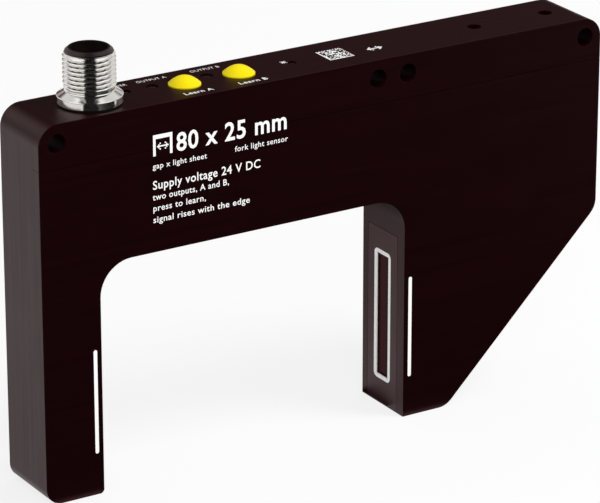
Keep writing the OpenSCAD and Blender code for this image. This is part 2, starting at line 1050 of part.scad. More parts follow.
module laser_flex() {
    low_z = main_mid_z - flex_h / 2;
    rise_x = emitter_x - laser_board_l + fit_gap;
    color(amber)
        slab(main_front_y - flex_t, main_front_y)
            polygon([
                [from_left(main_x[1] - flex_lap), low_z],
                [rise_x + flex_h, low_z],
                [rise_x + flex_h, holder_top],
                [rise_x, holder_top],
                [rise_x, low_z + flex_h],
                [from_left(main_x[1] - flex_lap), low_z + flex_h]
            ]);
}

module collimator_lens() {
    color(clear)
        slab(middle_y - lens_d / 2, middle_y + lens_d / 2)
            translate([emitter_x, lens_z])
                intersection() {
                    translate([0, lens_edge + lens_sag - lens_r])
                        circle(lens_r, $fn = 180);
                    translate([-lens_w / 2, 0])
                        square([lens_w, lens_r]);
                }
}

module lens_frame() {
    half_w = lens_w / 2 + pin_gap;
    half_d = lens_d / 2 + pin_gap;
    low_z = lens_z - lens_lip;
    color(black_plastic)
        difference() {
            box([emitter_x - half_w - lens_wall, seat_y + fit_gap, low_z],
                [emitter_x + half_w + lens_wall, floor_y - fit_gap, low_z + lens_frame_h]);
            box([emitter_x - half_w, middle_y - half_d, lens_z],
                [emitter_x + half_w, middle_y + half_d, low_z + lens_frame_h + spill]);
            box([emitter_x - half_w + lens_lip, middle_y - half_d + lens_lip, low_z - spill],
                [emitter_x + half_w - lens_lip, middle_y + half_d - lens_lip, lens_z + spill]);
        }
}

// The mirror lies on the inside of the sloped wall
module fold_mirror() {
    color(steel)
        translate([from_left(slope_x + beam_z), middle_y, beam_z])
            rotate([0, -45, 0])
                translate([-mirror_l / 2, -mirror_w / 2, wall + pin_gap])
                    cube([mirror_l, mirror_w, mirror_t]);
}

// Screws

module screw(d, head_d, head_h, l) {
    difference() {
        union() {
            cylinder(d = d, h = l);
            translate([0, 0, -head_h])
                cylinder(d = head_d, h = head_h);
        }
        translate([0, 0, -head_h - spill])
            cylinder(d = d, h = screw_drive + spill, $fn = 6);
    }
}

module board_screws() {
    color(steel) {
        for (p = boss_places)
            translate([from_left(p), middle_y, board_z - board_t])
                screw(screw_d, screw_head_d, screw_head_h, screw_l);
        for (p = main_screw_x)
            translate([from_left(p), main_front_y, main_mid_z])
                rotate([-90, 0, 0])
                    screw(screw_d, screw_head_d, screw_head_h, screw_l - 2 * fit_gap);
    }
}

module holder_screws() {
    head_y = seat_y + fit_gap + holder_head_h;
    shank_end = back_y - holder_screw_end - fit_gap;
    color(steel)
        for (side = [-1, 1])
            translate([emitter_x + side * holder_screw_x, head_y, holder_top - holder_h / 2])
                rotate([-90, 0, 0])
                    screw(holder_screw_d, holder_head_d, holder_head_h, shank_end - head_y);
}

housing();
front_cover();
cover_seal();
beam_bars();
emitter_bezel();
emitter_window();
emitter_frame();
receiver_bezel();
receiver_window();
receiver_frame();
connector_shell();
connector_insert();
connector_pins();
connector_gasket();
button_cap_a();
button_cap_b();
button_seals();
switch_body_a();
switch_body_b();
switch_plunger_a();
switch_plunger_b();
light_guide_power();
light_guide_a();
light_guide_b();
light_guide_beam();
indicator_lamps();
operator_board();
main_board();
board_header();
controller_chip();
output_drivers();
receiver_board();
line_sensor();
sensor_glass();
receiver_flex();
laser_diode();
laser_holder();
laser_board();
laser_flex();
collimator_lens();
lens_frame();
fold_mirror();
board_screws();
holder_screws();
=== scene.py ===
# %% [markdown]
# # A fork sensor, dressed for its picture
#
# The sensor is a flat black metal housing in the shape of a fork. A sheet of light leaves the wide
# leg on the right, crosses the gap and lands on the narrow leg on the left. On top are a round plug
# connector, two yellow push-buttons and four small lamps.
#
# The solids come ready made, as a frame of named pieces in metres. This script lights them, gives
# each one a finish, and swaps the few that the eye goes to for finer pieces of the same form.

# %% Load the frame
import math

import bmesh
import bpy
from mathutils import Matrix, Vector


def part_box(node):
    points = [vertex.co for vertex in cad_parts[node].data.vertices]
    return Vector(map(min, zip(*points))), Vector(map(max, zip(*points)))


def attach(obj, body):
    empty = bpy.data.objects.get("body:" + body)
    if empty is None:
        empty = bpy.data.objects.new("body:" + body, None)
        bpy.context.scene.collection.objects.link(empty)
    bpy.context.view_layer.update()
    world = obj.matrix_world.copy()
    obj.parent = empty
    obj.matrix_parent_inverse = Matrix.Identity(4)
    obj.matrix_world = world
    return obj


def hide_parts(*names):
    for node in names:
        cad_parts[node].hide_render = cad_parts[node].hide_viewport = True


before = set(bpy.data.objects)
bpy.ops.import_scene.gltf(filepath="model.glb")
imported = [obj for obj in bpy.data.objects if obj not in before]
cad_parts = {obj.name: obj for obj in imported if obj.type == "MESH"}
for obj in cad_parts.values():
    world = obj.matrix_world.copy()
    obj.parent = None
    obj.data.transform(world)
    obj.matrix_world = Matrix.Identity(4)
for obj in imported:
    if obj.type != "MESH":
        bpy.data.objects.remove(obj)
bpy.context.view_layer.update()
mm = 0.001

# %% [markdown]
# ## Where the camera stands
#
# The picture was taken with a long lens from the front left, a little above the bridge: upright
# edges stay almost upright, and the long edges hardly draw together. A camera can be moved about
# until the view looks right, but then small pieces never quite fall into place. So its place, its
# turn and its focal length were worked out from the corners of the housing and the four through holes.

# %% Camera
image_width = 600
focal_pixels = 3919.3
film_width = 36
camera_place = (-0.4446, -0.7117, 0.3699)
camera_down = math.radians(21.292)
camera_right = math.radians(31.836)
camera_turn = (math.pi / 2 - camera_down, 0, -camera_right)

bpy.ops.object.select_all(action="DESELECT")
bpy.ops.object.camera_add(location=camera_place, rotation=camera_turn)
camera = bpy.context.object
camera.name = "picture_camera"
camera.data.sensor_fit = "HORIZONTAL"
camera.data.sensor_width = film_width
camera.data.lens = film_width * focal_pixels / image_width
camera.data.clip_start = 0.05
camera.data.clip_end = 40
bpy.context.scene.camera = camera
bpy.context.scene.view_settings.view_transform = "Standard"
print("lens:", round(camera.data.lens, 1), "mm")

# %% [markdown]
# ## Shader maths in plain Python
#
# A material is a small graph of nodes. Wiring it by hand is long, so one class wraps a node's
# output. Two such outputs can be added or multiplied like numbers, and each sum adds a Math node.
# Every other node comes from `make`, which sets the node up first and then fills its sockets.

# %% Socket wrapper
class Wire:
    """One output of a shader node, which takes part in plain arithmetic."""

    def __init__(self, tree, socket=None):
        self.tree = tree
        self.socket = socket

    def make(self, kind, settings=None, inputs=None, output=0):
        """A new node in the same graph, and one of its outputs."""
        made = self.tree.nodes.new(kind)
        for name, value in (settings or {}).items():
            setattr(made, name, value)
        for name, value in (inputs or {}).items():
            if isinstance(value, Wire):
                self.tree.links.new(value.socket, made.inputs[name])
            else:
                made.inputs[name].default_value = value
        return Wire(self.tree, made.outputs[output] if len(made.outputs) else None)

    def maths(self, operation, first, second=0.0):
        return self.make("ShaderNodeMath", {"operation": operation}, {0: first, 1: second})

    def __add__(self, other):
        return self.maths("ADD", self, other)

    def __radd__(self, other):
        return self.maths("ADD", other, self)

    def __sub__(self, other):
        return self.maths("SUBTRACT", self, other)

    def __rsub__(self, other):
        return self.maths("SUBTRACT", other, self)

    def __mul__(self, other):
        return self.maths("MULTIPLY", self, other)

    def __rmul__(self, other):
        return self.maths("MULTIPLY", other, self)


print("socket maths ready")

# %% [markdown]
# ## A white table
#
# The sensor stands on a white table. To the camera the table is almost pure white, so most of what
# it shows is a steady white glow, and the rest is ordinary matt white that still takes the sensor's
# shadow. Mirrors and clear parts see the same table as the camera does. For the light that bounces
# about the scene, the table is plain matt white. Stronger lamps would whiten the table too, but they
# would bleach the sensor along with it.

# %% Table
def new_material(name):
    material = bpy.data.materials.new(name)
    material.use_nodes = True
    material.node_tree.nodes.clear()
    return material, Wire(material.node_tree)


def end_material(start, surface):
    start.make("ShaderNodeOutputMaterial", None, {"Surface": surface})


def sees_backdrop(start):
    """1 for rays that show the backdrop: from the camera, from gloss and through clear parts."""
    camera_ray = start.make("ShaderNodeLightPath", output="Is Camera Ray")
    glossy_ray = start.make("ShaderNodeLightPath", output="Is Glossy Ray")
    clear_ray = start.make("ShaderNodeLightPath", output="Is Transmission Ray")
    return start.maths("MINIMUM", camera_ray + glossy_ray + clear_ray, 1.0)


table_side = 24
glow_share = 0.8
table_finish, start = new_material("table_white")
matt = start.make("ShaderNodeBsdfDiffuse", None, {"Color": (0.86, 0.86, 0.86, 1)})
glow = start.make("ShaderNodeEmission", None, {"Color": (1, 1, 1, 1), "Strength": 1.0})
glowing = glow_share * sees_backdrop(start)
end_material(start, start.make("ShaderNodeMixShader", None, {0: glowing, 1: matt, 2: glow}))
table_finish.cycles.emission_sampling = "NONE"

bpy.ops.object.select_all(action="DESELECT")
bpy.ops.mesh.primitive_plane_add(size=table_side, location=(0, 0, 0))
table = bpy.context.object
table.name = "table"
table.data.materials.append(table_finish)
print("table:", tuple(round(side, 1) for side in table.dimensions))

# %% [markdown]
# ## Black cards for the gloss
#
# A black object shows what it mirrors. In the picture the front of the housing is nearly black, the
# connector has a dark stripe down its middle and thin dark lines between the turns of its thread,
# and the inner corner of the fork stays dark. A photographer gets that with black cards, and so does
# this scene. Five of them lie on the table: one in front, one that reaches towards the camera, one
# close by on the left, one behind the wide leg and a small one at its foot. They are there for gloss
# alone: the camera doesn't see them, and they take no light off the table.

# %% Cards
card_finish, start = new_material("card_black")
end_material(start, start.make("ShaderNodeBsdfDiffuse", None, {"Color": (0.012, 0.011, 0.011, 1)}))


def dark_card(name, corners, height):
    """A card on the table, its corners in millimetres, left to right and then front to back."""
    bpy.ops.object.select_all(action="DESELECT")
    bpy.ops.mesh.primitive_plane_add(size=1, location=(0, 0, 0))
    card = bpy.context.object
    card.name = name
    for vertex, (x, y) in zip(card.data.vertices, corners):
        vertex.co = (x * mm, y * mm, height * mm)
    card.data.materials.append(card_finish)
    card.visible_camera = False
    card.visible_diffuse = False
    card.visible_shadow = False
    return card


cards = [
    dark_card("front_card", [(-57, -1500), (2400, -1500), (-110, -9.5), (120, -9.5)], 0.4),
    dark_card("camera_card", [(-6385, -4888), (-57, -8000), (-152, -73), (-57, -120)], 0.5),
    dark_card("near_card", [(-294, -183), (-104, -37), (-354, -30), (-117, -6)], 0.4),
    dark_card("back_card", [(26, 14), (260, 14), (-60, 150), (260, 260)], 0.4),
    dark_card("foot_card", [(18, -2), (22, -2), (16, 10), (24, 10)], 0.3),
]
print("cards:", [card.name for card in cards])

# %% [markdown]
# ## The room
#
# Even light from all round shows every face. Gloss sees another room, a dim studio: two tall white
# panels stand left and right of the camera with a dark gap between them, and grow dimmer towards the
# back. Behind the sensor is a dim, warm wall, with white paper low at its two sides. All of it could
# be hung up as real panels, but a few soft steps on the direction of a ray are quick to set and leave
# no hard edges in the gloss. The room isn't sampled as a lamp, because a lamp's light can't tell
# gloss from the rest.

# %% Room tools
world = bpy.data.worlds.new("studio")
bpy.context.scene.world = world
world.use_nodes = True
world.node_tree.nodes.clear()
world.cycles.sampling_method = "NONE"
room = Wire(world.node_tree)
direction = room.make("ShaderNodeTexCoord", output="Generated")


def along(vector):
    """How far a ray points along a direction, from -1 to 1."""
    return room.make("ShaderNodeVectorMath", {"operation": "DOT_PRODUCT"},
                     {0: direction, 1: vector}, "Value")


def ramp(value, low, high):
    """0 at low, 1 at high, and a soft step between."""
    return room.make("ShaderNodeMapRange", {"interpolation_type": "SMOOTHSTEP"},
                     {0: value, 1: low, 2: high})


def blend_colours(start, amount, first, second):
    return start.make("ShaderNodeMix", {"data_type": "RGBA"},
                      {"Factor": amount, 6: (*first, 1), 7: (*second, 1)}, 2)


print("room tools ready")

# %% Room
even_light = 0.56
panel_light, panel_dimming, panel_lean = 1.25, 0.38, 0.31
wall_light, paper_light, least_light = 0.084, 0.6, 0.008
white, warm = (1, 1, 1), (1, 0.64, 0.62)
stripe_turn = camera_right - math.radians(6)
to_right = (math.cos(stripe_turn), -math.sin(stripe_turn), 0)
to_camera = (-math.sin(camera_right), -math.cos(camera_right), 0)

height = along((0, 0, 1))
sideways = room.maths("ABSOLUTE", along(to_right))
toward = along(to_camera)
aside = ramp(sideways + panel_lean * height * height, 0.48, 0.56)
lifted = ramp(height, 0.15, 0.32)
reach = ramp(toward, -0.90, -0.70) * (1 - panel_dimming * ramp(toward, -0.20, -0.34))
behind = ramp(toward, -0.3, -0.7)
paper = ramp(height, 0.42, 0.28) * ramp(sideways, 0.24, 0.38)
panels = panel_light * aside * lifted * reach
studio = panels + behind * (wall_light + paper_light * paper) + least_light
shade = blend_colours(room, behind * (1 - aside) * (1 - paper), white, warm)

glossy_ray = room.make("ShaderNodeLightPath", output="Is Glossy Ray")
level = studio * glossy_ray + (1 - glossy_ray)
even = room.make("ShaderNodeBackground", None, {"Color": (*white, 1), "Strength": even_light})
seen = room.make("ShaderNodeBackground", None, {"Color": shade, "Strength": level})
mixed = room.make("ShaderNodeMixShader", None, {0: sees_backdrop(room), 1: even, 2: seen})
room.make("ShaderNodeOutputWorld", None, {"Surface": mixed})
print("room:", len(world.node_tree.nodes), "nodes")

# %% [markdown]
# ## Two soft lamps
#
# One lamp high on the right and a weaker one lower in front give the forms their shade. A small lamp
# would throw hard shadows, so both are wide disks. They stay out of the gloss, which has its room.

# %% Lamps
def soft_lamp(name, place, size, watts):
    bpy.ops.object.select_all(action="DESELECT")
    aim = Vector((0, 0, 0.05)) - Vector(place)
    turn = aim.to_track_quat("-Z", "Y").to_euler()
    bpy.ops.object.light_add(type="AREA", location=place, rotation=turn)
    lamp = bpy.context.object
    lamp.name = name
    lamp.data.shape = "DISK"
    lamp.data.size = size
    lamp.data.energy = watts
    lamp.visible_glossy = False
    return lamp


key_lamp = soft_lamp("key_lamp", (0.55, -0.45, 0.95), size=0.45, watts=8.0)
fill_lamp = soft_lamp("fill_lamp", (-0.45, -1.05, 0.65), size=0.7, watts=3.8)
print("lamps:", key_lamp.name, fill_lamp.name)

# %% [markdown]
# ## Finishes
#
# Each finish is built the same way. A noise on the object's own coordinates shifts the colour and
# the gloss a little, and a finer noise raises a grain that catches the light. One flat colour would
# be quicker, but then every piece would seem to be cut from the same plastic. `speckle` returns the
# noise, where `across` is the size of its spots in millimetres, and `coat` puts a finish together.

# %% Finish tools
finishes = {}
grain_height = 0.02


def speckle(start, across, detail=2.0, stretch=(1, 1, 1)):
    place = start.make("ShaderNodeTexCoord", output="Object")
    scaled = start.make("ShaderNodeMapping", None, {"Vector": place, "Scale": stretch})
    return start.make("ShaderNodeTexNoise", None,
                      {"Vector": scaled, "Scale": 1 / (across * mm), "Detail": detail})


def raise_grain(start, strength, height):
    return start.make("ShaderNodeBump", None,
                      {"Strength": strength, "Distance": grain_height * mm, "Height": height})


def coat(name, dark, light, gloss, shift, grain, raised, cloud=6.0, drawn=(1, 1, 1), **fixed):
    """A finish between two colours: its roughness shifts by patches, and its grain is raised.

    `grain` and `cloud` are the sizes of grains and patches in millimetres, and `drawn` stretches the
    patches. What else is given is the same all over, and goes to the shader's own socket.
    """
    material, start = new_material(name)
    patches = speckle(start, cloud, 3.0, drawn)
    grains = speckle(start, grain)
    colour = blend_colours(start, 0.6 * patches + 0.4 * grains, dark, light)
    roughness = gloss + shift * (patches - 0.5)
    inputs = {"Base Color": colour, "Roughness": roughness, "Normal": raise_grain(start, raised, grains)}
    inputs.update({socket.replace("_", " "): value for socket, value in fixed.items()})
    end_material(start, start.make("ShaderNodeBsdfPrincipled", None, inputs))
    finishes[name] = material


print("finish tools ready")

# %% [markdown]
# ### Black housing
#
# The housing is blasted and dyed black. Seen straight on it is nearly black with a hint of brown,
# and seen at a slant it turns satin grey. A fine blasted grain breaks up the shine. Under it are the
# faint strokes of the brushing wheel, which run along the front, back and top and upright on the two
# ends. The way that a face points tells the two apart. Strokes could be modelled one by one, but a
# noise that is drawn out along one axis looks the same and never repeats.

# %% Housing finish
drawn_out = 0.02
housing_finish, start = new_material("housing_black")
patches = speckle(start, 9.0, 3.0)
grains = speckle(start, 0.16)
facing = start.make("ShaderNodeNewGeometry", output="Normal")
endwise = start.maths("ABSOLUTE", start.make("ShaderNodeSeparateXYZ", None, {0: facing}, "X"))
level_strokes = speckle(start, 0.7, 3.0, (drawn_out, 1, 1))
upright_strokes = speckle(start, 0.7, 3.0, (1, 1, drawn_out))
strokes = level_strokes + endwise * (upright_strokes - level_strokes)
mottle = 0.2 * patches + 0.2 * grains + 0.6 * strokes
end_material(start, start.make("ShaderNodeBsdfPrincipled", None, {
    "Base Color": blend_colours(start, mottle, (0.0030, 0.0001, 0.0002), (0.0108, 0.0008, 0.0013)),
    "Roughness": 0.42 + 0.06 * (patches - 0.5) + 0.20 * (strokes - 0.5),
    "IOR": 1.38,
    "Specular Tint": (1.0, 0.36, 0.40, 1),
    "Normal": raise_grain(start, 0.14, grains + 0.7 * strokes),
}))
finishes["housing_black"] = housing_finish
print(housing_finish.name)

# %% [markdown]
# ### Plastics, rubber and ink
#
# Grey moulded plastic lines the windows, white ink marks the light sheet, and the two caps are soft
# yellow rubber, which lets a little light in under its skin. The boards, chips, seals and plungers
# are inside, where nobody sees them until the cover comes off. They are finished as carefully,
# because the part may be shown open.

# %% Plastic finishes
coat("bezel_grey", (0.017, 0.007, 0.008), (0.025, 0.011, 0.012), gloss=0.42, shift=0.10,
     grain=0.22, raised=0.16, IOR=1.42, Specular_Tint=(1.0, 0.45, 0.50, 1))
coat("mark_white", (0.90, 0.90, 0.89), (0.97, 0.97, 0.96), gloss=0.55, shift=0.10,
     grain=0.12, raised=0.10)
coat("seal_black", (0.006, 0.006, 0.006), (0.011, 0.011, 0.011), gloss=0.62, shift=0.12,
     grain=0.15, raised=0.25)
coat("plug_black", (0.005, 0.0030, 0.0030), (0.009, 0.0060, 0.0060), gloss=0.36, shift=0.12,
     grain=0.20, raised=0.14, IOR=1.42, Specular_Tint=(1.0, 0.80, 0.82, 1))
coat("button_yellow", (0.84, 0.66, 0.002), (0.90, 0.73, 0.006), gloss=0.52, shift=0.10,
     grain=0.18, raised=0.10, IOR=1.22, Subsurface_Weight=0.05,
     Subsurface_Radius=(0.0006, 0.0004, 0.0001))
coat("lamp_white", (0.70, 0.70, 0.64), (0.82, 0.82, 0.76), gloss=0.30, shift=0.08,
     grain=0.10, raised=0.06)
coat("board_green", (0.008, 0.060, 0.022), (0.016, 0.095, 0.036), gloss=0.34, shift=0.10,
     grain=0.30, raised=0.12)
coat("chip_black", (0.010, 0.010, 0.011), (0.020, 0.020, 0.021), gloss=0.52, shift=0.10,
     grain=0.12, raised=0.22)
coat("plunger_grey", (0.20, 0.20, 0.21), (0.27, 0.27, 0.28), gloss=0.45, shift=0.10,
     grain=0.20, raised=0.10)
coat("flex_amber", (0.42, 0.17, 0.022), (0.55, 0.25, 0.040), gloss=0.30, shift=0.10,
     grain=0.40, raised=0.06)
print(len(finishes), "finishes so far")

# %% [markdown]
# ### Metals
#
# The connector is nickel-plated brass with gold contacts, the screws are steel, and a small mirror
# turns the light inside the wide leg. A metal takes its colour from what it mirrors, so these
# finishes are bright and smooth, and the room does the rest.

# %% Metal finishes
coat("nickel", (0.69, 0.67, 0.64), (0.79, 0.77, 0.74), gloss=0.12, shift=0.06,
     grain=0.35, raised=0.02, Metallic=1.0)
coat("contact_gold", (0.86, 0.58, 0.20), (0.95, 0.69, 0.28), gloss=0.20, shift=0.10,
     grain=0.20, raised=0.05, Metallic=1.0)
coat("steel", (0.50, 0.50, 0.50), (0.62, 0.62, 0.61), gloss=0.28, shift=0.12,
     grain=0.20, raised=0.08, Metallic=1.0)
coat("mirror", (0.88, 0.89, 0.90), (0.93, 0.94, 0.95), gloss=0.04, shift=0.02,
     grain=0.50, raised=0.01, Metallic=1.0)
print(len(finishes), "finishes so far")

# %% [markdown]
# ### Clear and tinted pieces
#
# The light guides are clear plastic rods, which look dark because they lead into a dark housing, so
# their colour is painted dark as well, as painted shade for the dark bore under them. The panes of the
# two windows pass only the red light of the beam. They could be red glass over a black chamber, but a
# very dark red gloss with faint upright streaks looks the same and is quicker to render.

# %% Clear finishes
# The guides' dark base colour is painted shade: it stands for the dark bore under each clear rod.
coat("guide_clear", (0.012, 0.010, 0.010), (0.024, 0.021, 0.021), gloss=0.10, shift=0.06,
     grain=0.40, raised=0.04, IOR=1.40, Transmission_Weight=0.60)
coat("optic_glass", (0.86, 0.90, 0.88), (0.92, 0.95, 0.93), gloss=0.04, shift=0.03,
     grain=0.60, raised=0.02, IOR=1.52, Transmission_Weight=0.92)
coat("window_red", (0.018, 0.0027, 0.0031), (0.050, 0.0082, 0.0088), gloss=0.16, shift=0.08,
     grain=0.60, raised=0.04, cloud=1.2, drawn=(1, 1, 0.03), IOR=1.09)
print(len(finishes), "finishes")

# %% [markdown]
# ## Dressing the solids
#
# Every solid comes with a slot that names its finish, so one loop dresses them all. A solid whose
# form is right stays as it is. The pieces after this stand in for the few that need finer form.

# %% Give each solid its finish
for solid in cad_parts.values():
    for place in solid.material_slots:
        place.material = finishes[place.material.name.split(".")[0]]
print(len(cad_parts), "solids finished")

# %% [markdown]
# ## Working on a mesh as by hand
#
# An operator acts on whatever is selected, so each step starts by selecting one piece and nothing
# else. Inside edit mode, edges are picked in code: `pick_edges` takes the sharp edges whose two ends
# pass a test on their place.

# %% Hand tools
def take(piece):
    if bpy.context.object and bpy.context.object.mode != "OBJECT":
        bpy.ops.object.mode_set(mode="OBJECT")
    bpy.ops.object.select_all(action="DESELECT")
    piece.select_set(True)
    bpy.context.view_layer.objects.active = piece


def edit_all(piece):
    take(piece)
    bpy.ops.object.mode_set(mode="EDIT")
    bpy.ops.mesh.select_mode(type="VERT")
    bpy.ops.mesh.select_all(action="SELECT")


def pick_edges(piece, wanted, sharp=math.radians(30)):
    take(piece)
    bpy.ops.object.mode_set(mode="EDIT")
    bpy.ops.mesh.select_mode(type="EDGE")
    bpy.ops.mesh.select_all(action="DESELECT")
    mesh = bmesh.from_edit_mesh(piece.data)
    count = 0
    for edge in mesh.edges:
        if len(edge.link_faces) == 2 and edge.calc_face_angle(0) > sharp:
            if wanted(edge.verts[0].co / mm, edge.verts[1].co / mm):
                edge.select_set(True)
                count += 1
    bmesh.update_edit_mesh(piece.data)
    return count


def bevel_picked(width, segments=3):
    bpy.ops.mesh.bevel(offset=width * mm, segments=segments, profile=0.5, affect="EDGES",
                       clamp_overlap=False, loop_slide=False)
    bpy.ops.object.mode_set(mode="OBJECT")


print("hand tools ready")

# %% [markdown]
# ## From a solid to a finer piece
#
# A solid's mesh is loose triangles. A copy is merged into whole faces before it is worked on, and the
# solid itself is left alone. When a piece is done, `soften` shades its round edges, and `settle` gives
# it a finish, hangs it on the body it rides on and hides the solids it stands for.

# %% Piece tools
def merged_copy(node, name):
    piece = bpy.data.objects.new(name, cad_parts[node].data.copy())
    bpy.context.scene.collection.objects.link(piece)
    take(piece)
    bpy.ops.mesh.customdata_custom_splitnormals_clear()
    edit_all(piece)
    bpy.ops.mesh.remove_doubles(threshold=0.001 * mm)
    bpy.ops.mesh.dissolve_limited(angle_limit=math.radians(0.5))
    bpy.ops.object.mode_set(mode="OBJECT")
    return piece


def soften(piece, angle=32):
    """Smooth shading over round edges, while flat faces stay flat."""
    take(piece)
    bpy.ops.object.shade_smooth_by_angle(angle=math.radians(angle))
    bpy.ops.object.modifier_add(type="WEIGHTED_NORMAL")
    piece.modifiers[-1].keep_sharp = True
    bpy.ops.object.modifier_apply(modifier=piece.modifiers[-1].name)


def settle(piece, body, slot, *nodes):
    piece.data.materials.clear()
    piece.data.materials.append(finishes[slot])
    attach(piece, body)
    if nodes:
        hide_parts(*nodes)
    print(piece.name, len(piece.data.polygons), "faces")


print("piece tools ready")

# %% [markdown]
# ## Housing and cover with broken edges
#
# The solids have knife-sharp edges. On the real housing every outer edge is broken by about a tenth
# of a millimetre, and that thin slope is the faint line that draws the shape on a black body. A trick
# in the material could fake it, but a real slope is there from every side. The edges are taken from
# the solids and bevelled: first the outline, front and back, then the through holes, then the rims of
# the holes in the top. The seam between housing and cover stays sharp.

# %% Which edges to break
front_y, back_y = (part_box("housing")[side][1] / mm for side in (0, 1))
top_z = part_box("connector_gasket")[0][2] / mm
seam_z, seam_reach = 79.2, 0.2
hole_places = [(-69.9, 85.0), (12.6, 85.0), (20.6, 85.0), (69.9, 85.0)]
hole_reach = 2.4
rim_reach = 8
touch = 0.01


def in_plane(axis, value, reach=touch):
    return lambda a, b: abs(a[axis] - value) < reach and abs(b[axis] - value) < reach


on_front = in_plane(1, front_y)
on_back = in_plane(1, back_y)
on_top = in_plane(2, top_z)
on_seam = in_plane(2, seam_z, seam_reach)
off_sides = in_plane(1, 0, rim_reach)


def on_face(a, b):
    return on_front(a, b) or on_back(a, b)


def on_hole(a, b):
    return any(math.hypot(a[0] - x, a[2] - z) < hole_reach for x, z in hole_places)


def on_outline(a, b):
    return on_face(a, b) and not on_hole(a, b) and not on_seam(a, b)


print("housing from", round(front_y, 2), "to", round(back_y, 2), "mm, its top at", round(top_z, 2))

# %% Housing
edge_break, rim_break = 0.12, 0.15
housing = merged_copy("housing", "housing_body")
count = pick_edges(housing, on_outline)
bevel_picked(edge_break)
print("outline edges:", count)
count = pick_edges(housing, lambda a, b: on_face(a, b) and on_hole(a, b))
bevel_picked(edge_break, 2)
print("hole edges:", count)
count = pick_edges(housing, lambda a, b: on_top(a, b) and off_sides(a, b))
bevel_picked(rim_break, 2)
print("rim edges:", count)
soften(housing)
settle(housing, "sensor", "housing_black", "housing")

# %% Front cover
cover = merged_copy("front_cover", "front_cover_plate")
bar_low, bar_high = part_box("beam_bars")
bar_half, bar_reach = 0.5, 0.8
bar_middles = (bar_low[0] / mm + bar_half, bar_high[0] / mm - bar_half)


def off_bars(a, b):
    middle = (a + b) / 2
    return min(abs(middle[0] - x) for x in bar_middles) > bar_reach


count = pick_edges(cover, lambda a, b: on_outline(a, b) and off_bars(a, b))
bevel_picked(edge_break)
print("cover edges:", count)
soften(cover)
settle(cover, "sensor", "housing_black", "front_cover")

# %% [markdown]
# ## A lathe
#
# The connector's shell and the button caps are round, so they are turned as on a lathe: one point is
# drawn out along an outline, and the outline is spun once round an axis. Cylinders and cones could be
# stacked up instead, but they would leave faces inside where they meet.

# %% Lathe
def spun(name, outline, centre, steps=144):
    """A closed shell from an outline of (radius, height) points in millimetres, spun about Z."""
    bpy.ops.object.select_all(action="DESELECT")
    bpy.ops.mesh.primitive_plane_add(size=mm, location=(0, 0, 0))
    piece = bpy.context.object
    piece.name = name
    edit_all(piece)
    bpy.ops.mesh.merge(type="CENTER")
    (radius, height), *others = outline
    bpy.ops.transform.translate(value=(centre[0] + radius * mm, centre[1], height * mm))
    for next_radius, next_height in others:
        step = ((next_radius - radius) * mm, 0, (next_height - height) * mm)
        bpy.ops.mesh.extrude_region_move(TRANSFORM_OT_translate={"value": step})
        radius, height = next_radius, next_height
    bpy.ops.mesh.select_all(action="SELECT")
    bpy.ops.mesh.spin(steps=steps, angle=2 * math.pi, center=(*centre, 0), axis=(0, 0, 1))
    bpy.ops.mesh.select_all(action="SELECT")
    bpy.ops.mesh.remove_doubles(threshold=0.0005 * mm)
    bpy.ops.mesh.normals_make_consistent(inside=False)
    bpy.ops.object.mode_set(mode="OBJECT")
    return piece


print("lathe ready")

# %% [markdown]
# ## Connector with a cut thread
#
# The solid has a plain cylinder where the real connector has a fine thread. The outline follows the
# solid, from the shank in the housing over the flange and a short cone to the rim, with many rings
# along the threaded part. A picture of rings would look flat against the white table, so those rings
# are then pulled in along a helix: each turn climbs by one pitch, and the two ends of the thread run
# out softly.

# %% Connector shell
shell_low, shell_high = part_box("connector_shell")
plug_axis = ((shell_low[0] + shell_high[0]) / 2, (shell_low[1] + shell_high[1]) / 2)
shank_z, rim_z = shell_low[2] / mm, shell_high[2] / mm
bore_r, shank_r, rim_r, thread_r = 4.8, 5.5, 5.42, 5.95
thread_from, thread_to = top_z + 3.6, rim_z - 0.1
rings = 150
flange_and_cone = [
    (shank_r, 0.35), (7.2, 0.35), (7.3, 0.45), (7.12, 1.86), (7.32, 1.9), (7.4, 1.95), (7.4, 2.02),
    (7.34, 2.09), (7.2, 2.17), (5.66, 3.11), (5.54, 3.22), (shank_r, 3.5),
]
outline = [(bore_r, shank_z), (shank_r, shank_z)]
outline += [(radius, top_z + rise) for radius, rise in flange_and_cone]
outline += [(thread_r, thread_from + (thread_to - thread_from) * i / rings) for i in range(rings + 1)]
outline += [(rim_r, rim_z), (bore_r, rim_z), (bore_r, shank_z)]
shell = spun("connector_shell_threaded", outline, plug_axis)
print("connector outline:", len(outline), "points")

# %% Cut the thread
thread_depth, thread_flat, pitch = 0.52, 0.06, 1.0
start_length, start_depth = 0.7, 0.45
end_length, end_depth = 0.5, 0.4
just_inside = 5.8


def thread_cut(z, turn):
    """How deep the thread is at a height, for an angle in turns: straight flanks, narrow crests."""
    phase = (z - thread_from) / pitch - turn
    from_crest = 2 * abs(phase - round(phase))
    flank = min(1, max(0, (from_crest - thread_flat) / (1 - 2 * thread_flat)))
    run_in = min(1, (z - thread_from) / start_length)
    run_out = min(1, max(0, (thread_to - z) / end_length))
    plain_ends = start_depth * (1 - run_in) + end_depth * (1 - run_out)
    return thread_depth * flank * run_in * run_out + plain_ends


for vertex in shell.data.vertices:
    x, y, z = vertex.co[0] - plug_axis[0], vertex.co[1] - plug_axis[1], vertex.co[2] / mm
    radius = math.hypot(x, y) / mm
    if radius > just_inside and thread_from - touch < z < thread_to + touch:
        turn = math.atan2(y, x) / (2 * math.pi)
        factor = (thread_r - thread_cut(z, turn)) / radius
        vertex.co[0] = plug_axis[0] + x * factor
        vertex.co[1] = plug_axis[1] + y * factor
soften(shell, 40)
settle(shell, "sensor", "nickel", "connector_shell")

